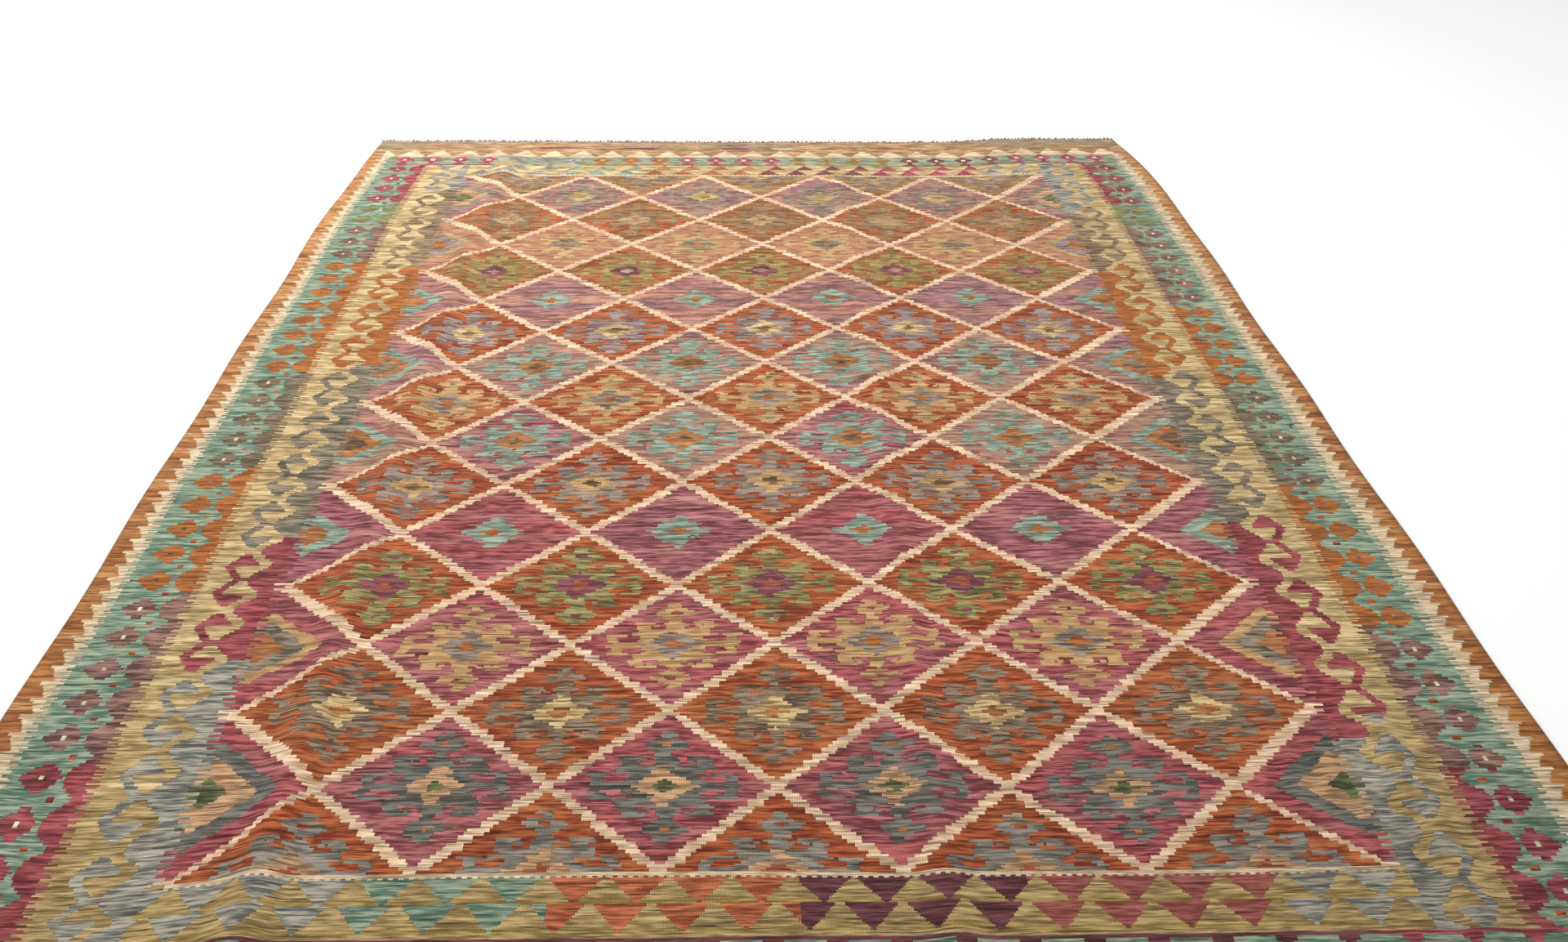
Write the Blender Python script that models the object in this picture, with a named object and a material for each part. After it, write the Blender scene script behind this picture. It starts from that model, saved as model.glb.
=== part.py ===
"""A flat-woven kilim rug, lying on a floor.

The rug is one piece of cloth: wool weft packed over cotton warp, with the colours woven in.
Its sides are selvedges and its ends are turned under as part of the same cloth, so the whole
rug is one solid. The warp runs along Y. The origin is the middle of the footprint, on the floor.
"""

from math import sin

import bmesh
import bpy

# Driving dimensions, in metres.
RUG_WIDTH = 2.00
RUG_LENGTH = 2.90
CLOTH_THICKNESS = 0.003

# The cloth isn't square: each side draws in slowly along the rug, and faster near the far end.
# side, where the slow part starts, how much, where the fast part starts, how much, its power
DRAW_INS = (
    ("left", 0.00, 0.010, 0.90, 0.027, 1.5),
    ("right", -0.95, 0.024, 0.90, 0.046, 2.0),
)

# The weft sags a little in the middle of the far end, and its right corner swings away.
END_SAG = 0.005
END_SAG_START = 0.85
CORNER_SWING = 0.026
CORNER_SWING_EDGE = 0.50
CORNER_SWING_WIDTH = 0.20
CORNER_SWING_START = 1.00
CORNER_SWING_LENGTH = 0.35

# Soft ridges where the cloth has been folded. Each runs along Y at one place across the rug.
# name, across near, across far, near end, far end, height near, height far, half width
RIDGES = (
    ("left storage fold", -0.607, -0.640, -1.50, 1.38, 0.0090, 0.0100, 0.048),
    ("right storage fold", 0.197, 0.197, -1.50, 1.25, 0.0050, 0.0050, 0.042),
    ("border buckle", 0.785, 0.785, -1.38, -0.82, 0.0045, 0.0045, 0.036),
)
RIDGE_FADE = 0.15
RIDGE_WANDER = 0.007
RIDGE_UNEVENNESS = 0.22

# Hand weaving leaves the selvedges slightly wavy.
EDGE_WAVE = 0.0025
EDGE_WAVE_TURNS = 11.0

# The mesh: columns stand on every ridge, and the flat cloth between is divided evenly.
RIDGE_COLUMNS = (-1.2, -0.8, -0.4, 0.0, 0.4, 0.8, 1.2)
WIDEST_COLUMN = 0.085
ROW_COUNT = 62


def ease(value):
    """0 below 0, 1 above 1, and a smooth step between."""
    value = min(max(value, 0.0), 1.0)
    return value * value * (3.0 - 2.0 * value)


def hump(value):
    """A soft crest: 1 in the middle, and 0 with no kink at -1 and 1."""
    return (1.0 - value * value) ** 2 if abs(value) < 1.0 else 0.0


def ridge_height(across, along):
    """How far the folds lift the cloth off the floor at one place."""
    height = 0.0
    for _name, near_centre, far_centre, near, far, near_height, far_height, half_width in RIDGES:
        share = min(max((along - near) / (far - near), 0.0), 1.0)
        centre = near_centre + (far_centre - near_centre) * share
        crest = near_height + (far_height - near_height) * share
        crest *= 1.0 + RIDGE_UNEVENNESS * sin(5.3 * along + 9.0 * centre)
        if near > -RUG_LENGTH / 2:
            crest *= ease((along - near) / RIDGE_FADE)
        if far < RUG_LENGTH / 2:
            crest *= ease((far - along) / RIDGE_FADE)
        wandered = centre + RIDGE_WANDER * sin(2.3 * along + 4.0 * centre)
        height += crest * hump((across - wandered) / half_width)
    return height


def draw_in(along, slow_start, slow, fast_start, fast, power):
    """How far one side has drawn in at one place along the rug."""
    half_length = RUG_LENGTH / 2
    slow_share = max(along - slow_start, 0.0) / (half_length - slow_start)
    fast_share = max(along - fast_start, 0.0) / (half_length - fast_start)
    return slow * slow_share + fast * fast_share ** power


def laid(across, along):
    """Where a place on the flat cloth comes to lie on the floor."""
    half_length = RUG_LENGTH / 2
    right_share = max(across / (RUG_WIDTH / 2), 0.0)
    left_share = max(-across / (RUG_WIDTH / 2), 0.0)
    left, right = (draw_in(along, *numbers) for _side, *numbers in DRAW_INS)
    x = across + left * left_share - right * right_share
    x += EDGE_WAVE * (right_share ** 6 - left_share ** 6) * sin(EDGE_WAVE_TURNS * along + across)
    sag = ease((along - END_SAG_START) / (half_length - END_SAG_START))
    swing = ease((along - CORNER_SWING_START) / CORNER_SWING_LENGTH)
    swing *= ease((across - CORNER_SWING_EDGE) / CORNER_SWING_WIDTH)
    y = along + CORNER_SWING * swing
    y -= END_SAG * sag * hump((across - 0.1) / 0.9)
    return x, y, ridge_height(across, along)


def columns():
    """Places across the rug: its edges, several on each ridge, and an even division between."""
    places = {-RUG_WIDTH / 2, RUG_WIDTH / 2}
    for _name, near_centre, far_centre, _near, _far, _near_height, _far_height, half_width in RIDGES:
        middle = (near_centre + far_centre) / 2
        places.update(middle + step * half_width for step in RIDGE_COLUMNS)
    fixed = sorted(places)
    filled = [fixed[0]]
    for place in fixed[1:]:
        gap = place - filled[-1]
        parts = max(1, int(gap / WIDEST_COLUMN + 0.999))
        start = filled[-1]
        filled += [start + gap * part / parts for part in range(1, parts + 1)]
    return filled


def clear_scene():
    for obj in list(bpy.data.objects):
        bpy.data.objects.remove(obj, do_unlink=True)


def wool_material():
    """Dull hand-spun wool, in the rug's average colour."""
    material = bpy.data.materials.new("woven_wool")
    material.use_nodes = True
    shader = material.node_tree.nodes["Principled BSDF"]
    shader.inputs["Base Color"].default_value = (0.34, 0.18, 0.105, 1.0)
    shader.inputs["Roughness"].default_value = 0.95
    shader.inputs["Metallic"].default_value = 0.0
    return material


def woven_cloth():
    """The whole rug: its underside as one laid sheet, which Solidify gives its thickness."""
    across_places = columns()
    along_places = [RUG_LENGTH * (row / ROW_COUNT - 0.5) for row in range(ROW_COUNT + 1)]
    points = [[laid(across, along) for across in across_places] for along in along_places]
    middle = []
    for axis in (0, 1):
        values = [point[axis] for row in points for point in row]
        middle.append((min(values) + max(values)) / 2)

    cloth = bmesh.new()
    grid = [[cloth.verts.new((x - middle[0], y - middle[1], z)) for x, y, z in row] for row in points]
    for near_row, far_row in zip(grid, grid[1:]):
        for column in range(len(near_row) - 1):
            corners = (near_row[column], near_row[column + 1], far_row[column + 1], far_row[column])
            cloth.faces.new(corners)
    mesh = bpy.data.meshes.new("woven_cloth")
    cloth.to_mesh(mesh)
    cloth.free()
    mesh.materials.append(wool_material())
    mesh.shade_smooth()

    rug = bpy.data.objects.new("woven_cloth", mesh)
    bpy.context.scene.collection.objects.link(rug)
    thickness = rug.modifiers.new("thickness", "SOLIDIFY")
    thickness.thickness = CLOTH_THICKNESS
    thickness.offset = 1.0
    return rug


clear_scene()
woven_cloth()
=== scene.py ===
from math import pi, radians, sin

import bpy
import numpy as np
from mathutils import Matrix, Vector


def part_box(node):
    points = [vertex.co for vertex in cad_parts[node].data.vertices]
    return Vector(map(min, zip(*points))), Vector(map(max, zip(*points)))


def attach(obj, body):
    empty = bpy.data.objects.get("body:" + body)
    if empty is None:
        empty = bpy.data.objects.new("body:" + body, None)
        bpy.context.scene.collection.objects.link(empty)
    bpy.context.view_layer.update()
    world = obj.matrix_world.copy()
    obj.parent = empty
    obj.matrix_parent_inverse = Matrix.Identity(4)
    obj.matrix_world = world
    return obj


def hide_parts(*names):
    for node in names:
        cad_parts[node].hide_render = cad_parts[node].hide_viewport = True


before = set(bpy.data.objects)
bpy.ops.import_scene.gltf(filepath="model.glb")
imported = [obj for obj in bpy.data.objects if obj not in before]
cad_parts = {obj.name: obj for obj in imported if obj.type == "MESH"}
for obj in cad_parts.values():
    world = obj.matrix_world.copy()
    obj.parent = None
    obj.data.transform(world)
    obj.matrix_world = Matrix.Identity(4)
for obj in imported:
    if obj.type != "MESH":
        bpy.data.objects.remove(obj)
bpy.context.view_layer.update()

# ------------------------
# The view: someone stands just off the near end and looks down along the rug.
# Places are in metres, from the middle of the woven field, which the cloth's own box gives.
RUG_WIDTH = 2.00
RUG_LENGTH = 2.90
cloth_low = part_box("woven_cloth")[0]
FIELD_CENTRE_Y = cloth_low[1] + RUG_LENGTH / 2
EYE = Vector((-0.0393, -2.5597 + FIELD_CENTRE_Y, 1.3217))
EYE_TILT = (60.154, -0.55, -1.35)
LENS = 36.64


def placed(name, data):
    """A new object in the scene, at the origin."""
    made = bpy.data.objects.new(name, data)
    bpy.context.scene.collection.objects.link(made)
    return made


view = bpy.data.cameras.new("view")
view.lens = LENS
view.sensor_width = 36.0
view.clip_end = 60.0
camera = placed("view", view)
camera.location = EYE
camera.rotation_euler = [radians(angle) for angle in EYE_TILT]
bpy.context.scene.camera = camera

# ------------------------
# The rug: one piece of weft-faced wool on a cotton warp, 2.00 m by 2.90 m. It is woven in slit
# tapestry, with selvedges at the sides and ends that are turned under, and it draws in towards
# its far end. Storage has left two soft folds along it, and a buckle in the near right border.
CLOTH_THICKNESS = 0.003

# side, where the slow part starts, how much, where the fast part starts, how much, its power
DRAW_INS = (
    ("left", 0.00, 0.010, 0.90, 0.027, 1.5),
    ("right", -0.95, 0.024, 0.90, 0.046, 2.0),
)
END_SAG = 0.005
END_SAG_START = 0.85
END_SAG_MIDDLE = 0.10
END_SAG_REACH = 0.90
CORNER_SWING = 0.026
CORNER_SWING_EDGE = 0.50
CORNER_SWING_WIDTH = 0.20
CORNER_SWING_START = 1.00
CORNER_SWING_LENGTH = 0.35
EDGE_WAVE = 0.0025
EDGE_WAVE_TURNS = 11.0

# name, across near, across far, near end, far end, height near, height far, half width
RIDGES = (
    ("left storage fold", -0.607, -0.640, -1.50, 1.38, 0.0090, 0.0100, 0.048),
    ("right storage fold", 0.197, 0.197, -1.50, 1.25, 0.0050, 0.0050, 0.042),
    ("border buckle", 0.785, 0.785, -1.38, -0.82, 0.0045, 0.0045, 0.036),
)
RIDGE_FADE = 0.15
RIDGE_WANDER = 0.007
RIDGE_UNEVENNESS = 0.22
# How fast a ridge swells and wanders along the rug, and how much that differs across it.
SWELL_TURNS = (5.3, 9.0)
WANDER_TURNS = (2.3, 4.0)


def ease(value):
    """0 below 0, 1 above 1, and a smooth step between."""
    value = np.clip(value, 0.0, 1.0)
    return value * value * (3.0 - 2.0 * value)


def hump(value):
    """A soft crest: 1 in the middle, and 0 with no kink at -1 and 1."""
    return np.where(np.abs(value) < 1.0, (1.0 - value * value) ** 2, 0.0)


def ridge_height(across, along):
    """How far the folds lift the cloth off the floor."""
    height = np.zeros_like(across)
    for _name, near_centre, far_centre, near, far, near_height, far_height, half_width in RIDGES:
        share = np.clip((along - near) / (far - near), 0.0, 1.0)
        centre = near_centre + (far_centre - near_centre) * share
        crest = near_height + (far_height - near_height) * share
        crest = crest * (1.0 + RIDGE_UNEVENNESS * np.sin(SWELL_TURNS[0] * along + SWELL_TURNS[1] * centre))
        if near > -RUG_LENGTH / 2:
            crest = crest * ease((along - near) / RIDGE_FADE)
        if far < RUG_LENGTH / 2:
            crest = crest * ease((far - along) / RIDGE_FADE)
        wander = RIDGE_WANDER * np.sin(WANDER_TURNS[0] * along + WANDER_TURNS[1] * centre)
        height += crest * hump((across - centre - wander) / half_width)
    return height


def draw_in(along, slow_start, slow, fast_start, fast, power):
    """How far one side has drawn in at places along the rug."""
    half_length = RUG_LENGTH / 2
    slow_share = np.maximum(along - slow_start, 0.0) / (half_length - slow_start)
    fast_share = np.maximum(along - fast_start, 0.0) / (half_length - fast_start)
    return slow * slow_share + fast * fast_share ** power


def laid(across, along):
    """Where places on the flat cloth come to lie on the floor."""
    half_length = RUG_LENGTH / 2
    right_share = np.maximum(across / (RUG_WIDTH / 2), 0.0)
    left_share = np.maximum(-across / (RUG_WIDTH / 2), 0.0)
    left, right = (draw_in(along, *numbers) for _side, *numbers in DRAW_INS)
    x = across + left * left_share - right * right_share
    at_edge = right_share ** 6 - left_share ** 6
    x = x + EDGE_WAVE * at_edge * np.sin(EDGE_WAVE_TURNS * along + across)
    sag = ease((along - END_SAG_START) / (half_length - END_SAG_START))
    swing = ease((along - CORNER_SWING_START) / CORNER_SWING_LENGTH)
    swing = swing * ease((across - CORNER_SWING_EDGE) / CORNER_SWING_WIDTH)
    y = along + CORNER_SWING * swing
    y = y - END_SAG * sag * hump((across - END_SAG_MIDDLE) / END_SAG_REACH)
    return x, y, ridge_height(across, along)


# The yarns. Hand-spun wool weft from small dye lots, so that each yarn drifts between a dark
# and a light shade within a few picks.
YARNS = {
    # name: dark shade and light shade
    "cream": "ab9270 dac4a3",
    "lattice cream": "bb9979 e5c5a5",
    "gold": "957a4f cdb383",
    "ochre": "7c622b ad9354",
    "straw": "927248 bc9c6e",
    "selvedge rust": "844c27 ab713a",
    "teal": "4f6b5b 96a187",
    "light blue grey": "5e605a aaa290",
    "crimson": "6a2829 a35155",
    "slate": "4f4b40 94856d",
    "orange": "84461c ac6a30",
    "brown grey": "614b32 998367",
    "mauve": "573a32 9a7467",
    "brown mauve": "50422f 83735b",
    "purple": "5a4036 927061",
    "green": "676840 85845a",
    "rust": "722a14 b05d33",
    "rust orange": "7a3418 b46a3c",
    "orange brown": "754724 a37346",
    "pale rust": "7a5230 aa8458",
    "field crimson": "6c2a2f b4605e",
    "dusty pink": "6f3c3c b27972",
    "pink crimson": "6a3034 b06a68",
    "mauve crimson": "5f2c32 ab676a",
    "pink": "7a5a4a b08a72",
    "mauve pink": "7a4b43 b48570",
    "purple pink": "664449 ab7a74",
    "ochre pink": "8c5a43 b88667",
    "steel blue": "5c554c 948b7d",
    "field slate": "48463f 7c7870",
    "grey brown": "50402f 968068",
    "sand": "9b764b bf9a6b",
    "moss": "554b28 9f935f",
    "field teal": "5d6c5e 98a491",
    "lilac grey": "6c5c5a a38e84",
    "olive": "6e5e32 9f8b53",
    "peach": "86664a c89e75",
    "pale yellow": "8a7046 d8ba86",
    "blue grey": "63574f 9e8978",
    "plum": "592c34 8e4f54",
    "leaf green": "3a3d26 6f7648",
    "coral": "8a5028 b07849",
    "umber": "523722 8a6c49",
    "rust pink": "84422d a1583b",
    "salmon": "8c4226 ba6c49",
    "aubergine": "4e2526 724148",
    "far aubergine": "60352e 824c46",
    "end crimson": "7a3a30 9e5c52",
    "far crimson": "7d3040 a8535a",
    "end orange": "845e3c bc9970",
    "end grey": "7d6a58 a08a74",
    "end olive": "79613c a18961",
    "white": "b6a382 dbd9bc",
    "near gold": "7e6740 bb9f6b",
    "selvedge tan": "95602f c08e5e",
    "pale teal": "677460 a4a286",
    "dusk": "625247 9a8976",
    "olive grey": "6c503a 997c5b",
}
YARN_NUMBER = {name: number for number, name in enumerate(YARNS)}

# The weaving chart. Slit tapestry is woven by counting: a step in the design is four warps
# across and four rows of weft along. The chart gives each place its yarn, and it is drawn
# from the design's own rules, with the small miscounts of hand weaving.
WARPS = 680
ROWS = 948
STEP = 4
HALF_DIAMOND = 48
FIELD_LEFT = 100
FIELD_RIGHT = 580
FIELD_NEAR = 90
FIELD_FAR = 858
DIAMONDS_ACROSS = 5
LATTICE_WARPS = 5

chart = np.zeros((ROWS, WARPS), np.uint8)
hand = np.random.default_rng(12)


def uneven(count):
    """Small miscounts, most of them none."""
    return hand.choice([-1, 0, 0, 0, 1], size=count)


# Shapes within one quarter of a diamond, in steps from its centre: across from, across to,
# along from, along to.
HOOKS = (
    (0.0, 4.2, 0.0, 0.9), (0.0, 3.7, 0.9, 1.7), (0.0, 4.7, 1.7, 2.9),
    (0.0, 1.2, 2.9, 4.3), (0.0, 0.8, 4.3, 5.3), (3.1, 4.8, 2.9, 4.4),
    (2.2, 3.2, 3.9, 4.5), (2.1, 2.8, 3.4, 3.9), (4.2, 6.5, 0.0, 0.4),
    (6.4, 7.7, 0.0, 1.9), (5.3, 6.5, 1.4, 1.9),
)


def stepped(*boxes):
    """A stepped shape about its own middle, from how far each of its boxes reaches."""
    return tuple((0.0, across, 0.0, along) for across, along in boxes)


MEDALLION = stepped((3.5, 0.3), (2.8, 0.8), (2.2, 1.3), (1.6, 1.8), (1.0, 2.3), (0.4, 2.9))
BARE_MEDALLION = stepped((3.7, 0.4), (3.1, 1.0), (2.5, 1.7), (1.8, 2.4), (1.1, 3.1), (0.4, 3.7))
FLOWER_CENTRE = 6.3
FLOWER = stepped((2.3, 0.45), (1.6, 1.0), (0.8, 1.6), (0.4, 1.9))
FLOWER_EYE = stepped((0.55, 0.4))
CENTRES = (
    stepped((1.3, 0.35), (0.8, 0.75), (0.35, 1.1)),
    stepped((1.5, 0.35), (0.55, 0.9)),
    stepped((1.0, 0.6), (0.4, 1.1), (1.4, 0.2)),
)
# How far a row of a shape may slip sideways, in steps.
SLIPS = (-0.5, -0.25, 0.0, 0.0, 0.25, 0.5)
CHEVRON_SLIPS = (-0.3, 0.0, 0.0, 0.3)
# A chevron starts some warps outside the field, and its legs run back at this slope.
CHEVRON_FOOT = 8
CHEVRON_SLOPE = 1.08


def within(shapes, across, along):
    """Where a place is inside any of some boxes."""
    inside = np.zeros(np.broadcast(across, along).shape, bool)
    for left, right, near, far in shapes:
        from_middle = across if left else np.maximum(across, 0.0)
        inside |= (from_middle >= left) & (across < right) & (along >= near) & (along < far)
    return inside


# A ground changes every few rows from one dye lot to another, which is its own or one of these.
LOT_ROWS = (3, 14)
OTHER_LOTS = {
    "rust": ("rust", "rust orange"),
    "rust orange": ("rust orange", "rust"),
    "orange brown": ("orange brown", "rust orange"),
    "pale rust": ("pale rust", "orange brown"),
    "field crimson": ("field crimson", "pink crimson"),
    "dusty pink": ("dusty pink", "field crimson"),
    "pink crimson": ("pink crimson", "field crimson"),
    "mauve crimson": ("mauve crimson", "dusty pink"),
    "pink": ("pink", "mauve pink"),
    "mauve pink": ("pink", "purple pink"),
    "purple pink": ("mauve pink",),
}


def dye_lots(ground, count):
    """The ground's yarn in each of some rows."""
    lots = np.array([YARN_NUMBER[name] for name in (ground, *OTHER_LOTS.get(ground, ()))])
    runs = hand.integers(*LOT_ROWS, size=count)
    return np.repeat(lots[hand.integers(0, len(lots), size=count)], runs)[:count]


def diamond_reach(rows_out):
    """Half the width of a diamond's inside, in warps, at each row from its centre."""
    step = rows_out // STEP
    half_way = (rows_out % STEP) // 2
    reach = HALF_DIAMOND - LATTICE_WARPS - STEP * step - half_way
    return np.where(rows_out < 2, reach + 2, reach)


def weave_diamond(centre_warp, centre_row, ground, hooks, medallion, centre, eye):
    """One lattice diamond with its hooked medallion and two small flowers."""
    first = max(centre_row - HALF_DIAMOND, FIELD_NEAR)
    last = min(centre_row + HALF_DIAMOND, FIELD_FAR)
    left, right = centre_warp - HALF_DIAMOND, centre_warp + HALF_DIAMOND
    block = chart[first:last, left:right]
    out_rows = np.arange(first, last)[:, None] + 0.5 - centre_row
    out_warps = np.arange(left, right)[None, :] + 0.5 - centre_warp
    pairs = np.arange(first, last) // 2 - first // 2
    left_edge = uneven(pairs.max() + 1)[pairs][:, None]
    right_edge = uneven(pairs.max() + 1)[pairs][:, None]
    reach = diamond_reach(np.abs(out_rows).astype(int))
    inside = (out_warps > -reach - left_edge) & (out_warps < reach + right_edge)
    lots = np.broadcast_to(dye_lots(ground, last - first)[:, None], block.shape)
    block[inside] = lots[inside]

    sway = hand.integers(-1, 2)
    lift = hand.integers(-1, 2)
    slips = hand.choice(SLIPS, size=(2, pairs.max() + 1))[:, pairs, None]
    across = np.abs(out_warps + sway) / STEP + np.where(out_warps < 0, slips[0], slips[1])
    along = np.abs(out_rows + lift) / STEP
    across, along = np.broadcast_arrays(across, along)
    if hooks:
        from_flower = np.abs(along - FLOWER_CENTRE)
        hooked = within(HOOKS, across, along) | within(FLOWER, across, from_flower)
        block[hooked & inside] = YARN_NUMBER[hooks]
        block[within(FLOWER_EYE, across, from_flower) & inside] = YARN_NUMBER[eye]
    shape = MEDALLION if hooks else BARE_MEDALLION
    block[within(shape, across, along)] = YARN_NUMBER[medallion]
    shape = CENTRES[hand.integers(0, len(CENTRES))]
    block[within(shape, across, along)] = YARN_NUMBER[centre]


def weave_side_chevrons(tip_warp, inward, centre_row, ground, chevrons):
    """The half diamond at the side of the field: nested chevrons that point inwards."""
    first, last = centre_row - HALF_DIAMOND, centre_row + HALF_DIAMOND
    left = tip_warp - (CHEVRON_FOOT if inward > 0 else HALF_DIAMOND)
    right = tip_warp + (HALF_DIAMOND if inward > 0 else CHEVRON_FOOT)
    block = chart[first:last, left:right]
    out_rows = np.abs(np.arange(first, last)[:, None] + 0.5 - centre_row)
    out_warps = (np.arange(left, right)[None, :] + 0.5 - tip_warp) * inward
    inside = out_warps < diamond_reach(out_rows.astype(int))
    inside &= out_rows < HALF_DIAMOND - STEP
    lots = dye_lots(ground, last - first)
    yarns = np.repeat(lots[:, None], right - left, axis=1)
    slips = hand.choice(CHEVRON_SLIPS, size=HALF_DIAMOND)[np.arange(last - first) // 2, None]
    for yarn, reach in chevrons:
        legs = (np.abs(out_warps) + CHEVRON_SLOPE * out_rows) / STEP + slips
        yarns[legs < reach] = YARN_NUMBER[yarn]
    block[inside] = yarns[inside]


# Rows of five diamonds, from the near end, and the rows of four between them.
# ground, hooks, medallion, centre, flower eye
LONG_ROWS = (
    ("rust", "steel blue", "peach", "rust pink", "rust"),
    ("rust orange", "grey brown", "pale yellow", "coral", "rust pink"),
    ("rust", "moss", "plum", "rust pink", "plum"),
    ("rust", "blue grey", "sand", "umber", "rust"),
    ("rust orange", "sand", "blue grey", "orange", "slate"),
    ("rust orange", "lilac grey", "pale yellow", "umber", "lilac grey"),
    ("orange brown", "olive", "plum", "pink", "plum"),
    ("orange brown", "olive grey", "straw", "mauve pink", "sand"),
    ("pale rust", "dusk", "sand", "slate", "rust"),
)
SHORT_ROWS = (
    ("field crimson", "field slate", "peach", "leaf green", "coral"),
    ("pink crimson", "sand", "blue grey", "orange", "crimson"),
    ("mauve crimson", None, "field teal", "orange", "orange"),
    ("pink", "field teal", "coral", "umber", "coral"),
    ("mauve pink", "field teal", "orange brown", "umber", "coral"),
    ("purple pink", None, "field teal", "orange", "orange"),
    ("ochre pink", "sand", "slate", "orange", "slate"),
    ("mauve pink", "dusk", "straw", "olive", "dusk"),
)
# The chevrons beside each row of four, from the outermost in: yarn, and its reach in steps.
SIDE_CHEVRONS = (
    (("field slate", 8.2), ("peach", 5.6), ("leaf green", 2.3)),
    (("sand", 7.4), ("slate", 5.4), ("coral", 2.8)),
    (("field teal", 5.7), ("coral", 2.8)),
    (("field teal", 7.1), ("coral", 4.8), ("umber", 2.7)),
    (("field teal", 7.0), ("coral", 4.7), ("brown grey", 2.8)),
    (("field teal", 5.7), ("coral", 2.9)),
    (("straw", 7.3), ("lilac grey", 5.4), ("coral", 2.4)),
    (("dusk", 7.8), ("peach", 5.6), ("leaf green", 2.6)),
)
# In some rows of four every second diamond has another ground.
SECOND_GROUND = {
    "field crimson": "pink crimson",
    "mauve crimson": "pink crimson",
    "pink": "dusty pink",
}

# The sides first, since the field's edge is combed into them.
# From the selvedge inwards, in warps: rust teeth on cream, teal with flowers, gold with hooks.
TOOTH_FOOT = 6.0
TOOTH_REACH = 6.4
TOOTH_STEPS = 5
FLOWER_STEPS = ((1.7, 8.8), (3.6, 7.0), (5.6, 4.8), (8.4, 2.3))
FLOWER_NECK = 1.5
NECK_GAP = 0.6
FLOWER_ROWS = 23.5
EYE_ROWS = 1.4
FIRST_EYE = 1.2
SECOND_EYE = 1.7
CREAM_SLACK = 0.6
GOLD_EDGE = (52.9, 57.4)
GOLD_STRIPE_END = 64
FIELD_COMB = (94, 98)
COMB_ROWS = 2

# One hook on the gold: from which of its rows, the columns of the section's own colour, and the
# column where the ground inside the hooks begins.
HOOK_ROWS = (
    (0, (0, 0), 7.5), (2, (5.5, 10), 15.5), (4, (4, 9), 16), (6, (2.7, 7.2), 17.7),
    (8, (1, 6), 20), (10, (0, 5.2), 22.3), (12.4, (1, 17.5), 23.5), (14.5, (2.5, 16), 23),
    (16.5, (3.6, 14.2), 21.5), (18.5, (5.4, 12.3), 18.5), (21, (6.8, 11), 16.5),
    (22.7, (0, 0), 15.2),
)
HOOK_LENGTH = 25.0

# Each side. Teeth, flowers and hooks repeat at a pace that changes along the rug, so each has
# some rows and how many repeats have been woven by then. Sections of colour end at some rows.
# The ground inside the hooks changes its colour some rows later, or earlier where slip is below 0.
HOOK_YARNS = ("light blue grey", "crimson", "slate", "orange", "brown grey", "light blue grey")
FLOWER_YARNS = ("crimson", "mauve", "orange", "brown mauve", "orange", "purple", "green", "crimson")
EYE_YARNS = ("white", "white", "purple", "white", "purple", "white", "coral", "white")
SIDES = (
    dict(cream=(15.0, 18.5), first=32.3, second=40.3, slip=12,
         tooth_beats=((0, 450, 948), (0.0, 38.9, 84.5)),
         flower_beats=((0, 490, 948), (0.69, 21.72, 42.39)),
         hook_beats=((0, 750, 948), (1.61, 31.4, 39.1)),
         hook_ends=(211, 313, 509, 660, 813),
         flower_ends=(156, 277, 395, 510, 684, 756, 798)),
    dict(cream=(17.0, 21.0), first=34.0, second=41.0, slip=-15,
         tooth_beats=((0, 600, 948), (0.2, 61.8, 99.0)),
         flower_beats=((0, 377, 629, 948), (0.02, 15.0, 25.40, 39.35)),
         hook_beats=((0, 338, 948), (0.32, 11.75, 33.62)),
         hook_ends=(179, 350, 513, 678, 790),
         flower_ends=(145, 245, 372, 487, 607, 750, 795)),
)


def sections(ends, names, places):
    """The yarn at each place of a border whose sections of colour end at some rows or warps."""
    numbers = np.array([YARN_NUMBER[name] for name in names])
    return numbers[np.searchsorted(ends, places, side="right")]


def flower_width(rows_out):
    """Half the width of a flower, in warps, at a row so far from its middle."""
    return next((reach for half_rows, reach in FLOWER_STEPS if rows_out <= half_rows), 0.0)


# Yarns that give way to another along the rug: at which row, and over how many rows. Two waves
# make the change ragged, each with its size, its pace along the rows and where it starts.
EDGE_BLEND = ("selvedge rust", "selvedge tan", 470, 260)
GOLD_BLEND = ("near gold", "gold", 190, 70)
BLEND_WAVES = ((0.9, 0.37, 0.0), (0.5, 0.131, 2.0))


def blended(blend, row):
    """The first yarn or the one that takes over, by bands a few rows deep."""
    first, second, middle, rows = blend
    share = (row - middle) / rows
    for size, pace, start in BLEND_WAVES:
        share += size * sin(row * pace + start)
    return YARN_NUMBER[second if share > 0.0 else first]


def combed(count):
    """Rows that reach over a join and rows that stop short of it, by ones and twos."""
    runs = hand.integers(1, 3, size=count)
    return np.repeat(np.arange(count) % 2, runs)[:count]


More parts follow.
